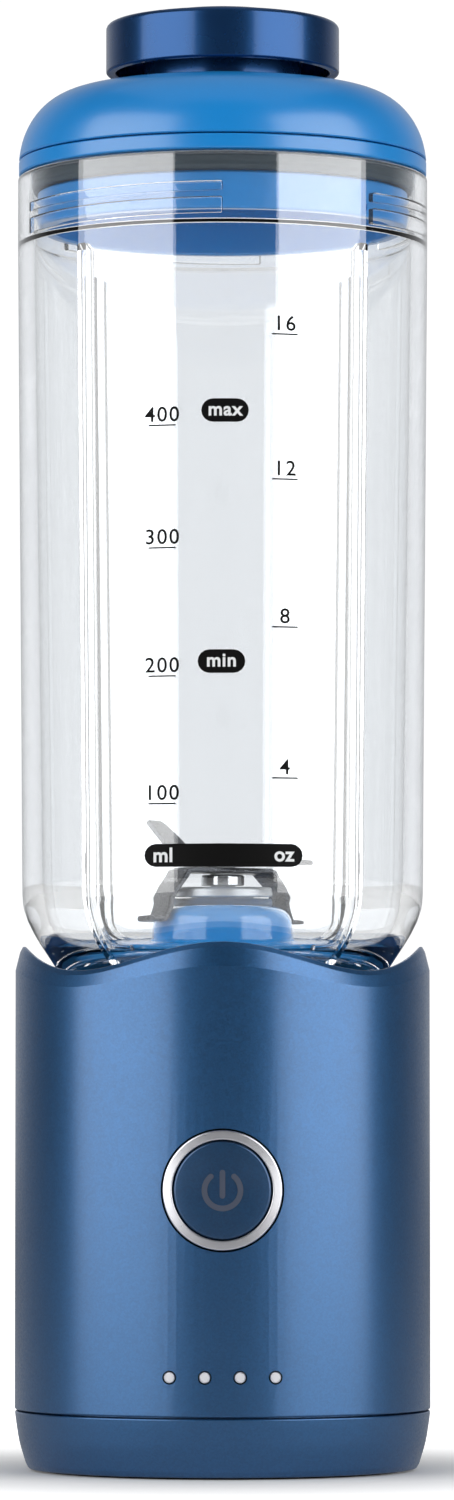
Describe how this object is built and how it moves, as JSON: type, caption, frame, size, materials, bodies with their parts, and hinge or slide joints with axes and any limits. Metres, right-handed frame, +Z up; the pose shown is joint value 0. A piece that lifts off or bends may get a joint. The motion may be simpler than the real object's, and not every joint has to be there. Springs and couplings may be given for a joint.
{
  "type": "personal blender",
  "caption": "Cordless hand-held blender: round motor base, clear ribbed screw-on cup with a blade unit in its floor, domed screw lid and round screw cap.",
  "frame": {"origin": "middle of the foot's underside, on the surface the base stands on", "axes": "+Z up along the cup's axis; the power button faces -Y and the charge port +Y"},
  "size_m": [0.083, 0.083, 0.2925],
  "materials": {
    "blue_paint": "metallic blue paint over moulded plastic, satin gloss",
    "lid_plastic": "bright blue moulded plastic, satin",
    "hub_plastic": "light blue moulded plastic, glossy",
    "cap_plastic": "navy moulded plastic, satin gloss",
    "silver": "bright silver",
    "steel": "plain steel",
    "blade_steel": "stainless steel, polished",
    "clear_plastic": "clear moulded plastic",
    "black_plastic": "black moulded plastic",
    "grey_plastic": "grey glass-filled plastic",
    "light_pipe": "milky light pipe",
    "grey_silicone": "grey food-grade silicone",
    "black_rubber": "black rubber",
    "copper": "copper",
    "brass": "sintered bronze",
    "magnet": "dark ferrite or laminated steel",
    "circuit_board": "green solder mask",
    "cell_wrap": "shrink sleeve"
  },
  "bodies": {
    "base": {"housing": "blue_paint", "bottom_cover": "blue_paint", "foot_ring": "black_rubber", "cover_screw_1": "steel", "cover_screw_2": "steel", "cover_screw_3": "steel", "cover_screw_4": "steel", "battery_tray": "black_plastic", "battery_cell_1": "cell_wrap", "battery_cell_2": "cell_wrap", "cup_socket": "hub_plastic", "splash_seal": "black_rubber", "cup_sensor": "black_plastic", "control_board": "circuit_board", "power_switch": "black_plastic", "light_guide": "light_pipe", "button_ring": "silver", "charge_board": "circuit_board", "charge_port": "steel", "motor_mount": "grey_plastic", "motor_screw_1": "steel", "motor_screw_2": "steel", "motor_can": "steel", "motor_end_cap": "black_plastic", "motor_magnet_1": "magnet", "motor_magnet_2": "magnet", "motor_brush_1": "magnet", "motor_brush_2": "magnet", "lower_bearing": "steel", "upper_bearing": "steel"},
    "rotor": {"motor_shaft": "steel", "armature_core": "magnet", "armature_winding": "copper", "commutator": "copper", "drive_coupling": "black_plastic"},
    "button": {"power_button": "blue_paint"},
    "port_flap": {"port_cover": "black_rubber"},
    "cup_carrier": {"holder_gasket": "grey_silicone"},
    "cup": {"cup": "clear_plastic", "blade_holder": "hub_plastic", "holder_nut": "hub_plastic", "lower_bush": "brass", "upper_bush": "brass", "shaft_seal": "black_rubber", "seal_cap": "blade_steel", "trigger_magnet": "steel"},
    "blade": {"blade_shaft": "steel", "driven_coupling": "black_plastic", "blade_spacer": "silver", "lower_blade": "blade_steel", "upper_blade": "blade_steel", "blade_nut": "blade_steel"},
    "lid_carrier": {"lid_seal": "grey_silicone"},
    "lid": {"lid_collar": "lid_plastic", "lid_dome": "lid_plastic"},
    "cap_carrier": {"cap_seal": "grey_silicone"},
    "cap": {"screw_cap": "cap_plastic"}
  },
  "joints": [
    {"name": "motor_spin", "type": "hinge", "parent": "base", "child": "rotor", "pos_m": [0, 0, 0.05], "axis": [0, 0, 1], "continuous": true},
    {"name": "button_press", "type": "slide", "parent": "base", "child": "button", "axis": [0, 1, 0], "range_m": [0, 0.0009], "stiffness_N_per_m": 1500, "springref_m": -0.0005},
    {"name": "port_cover_swing", "type": "hinge", "parent": "base", "child": "port_flap", "pos_m": [0, 0.0405, 0.0284], "axis": [1, 0, 0], "range_deg": [0, 100]},
    {"name": "cup_turn", "type": "hinge", "parent": "cup_carrier", "child": "cup", "pos_m": [0, 0, 0.1], "axis": [0, 0, 1], "range_deg": [0, 270]},
    {"name": "cup_lift", "type": "slide", "parent": "base", "child": "cup_carrier", "axis": [0, 0, 1], "range_m": [0, 0.02251]},
    {"name": "blade_spin", "type": "hinge", "parent": "cup_carrier", "child": "blade", "pos_m": [0, 0, 0.12], "axis": [0, 0, 1], "continuous": true},
    {"name": "lid_turn", "type": "hinge", "parent": "lid_carrier", "child": "lid", "pos_m": [0, 0, 0.26], "axis": [0, 0, 1], "range_deg": [0, 360]},
    {"name": "lid_lift", "type": "slide", "parent": "cup", "child": "lid_carrier", "axis": [0, 0, 1], "range_m": [0, 0.01261]},
    {"name": "cap_turn", "type": "hinge", "parent": "cap_carrier", "child": "cap", "pos_m": [0, 0, 0.285], "axis": [0, 0, 1], "range_deg": [0, 400]},
    {"name": "cap_lift", "type": "slide", "parent": "lid", "child": "cap_carrier", "axis": [0, 0, 1], "range_m": [0, 0.01001]}
  ],
  "couplings": [
    {"joint": "blade_spin", "follows": "motor_spin", "ratio": 1},
    {"joint": "cup_lift", "follows": "cup_turn", "m_per_rad": 0.0047746},
    {"joint": "lid_lift", "follows": "lid_turn", "m_per_rad": 0.0020054},
    {"joint": "cap_lift", "follows": "cap_turn", "m_per_rad": 0.0014324}
  ]
}
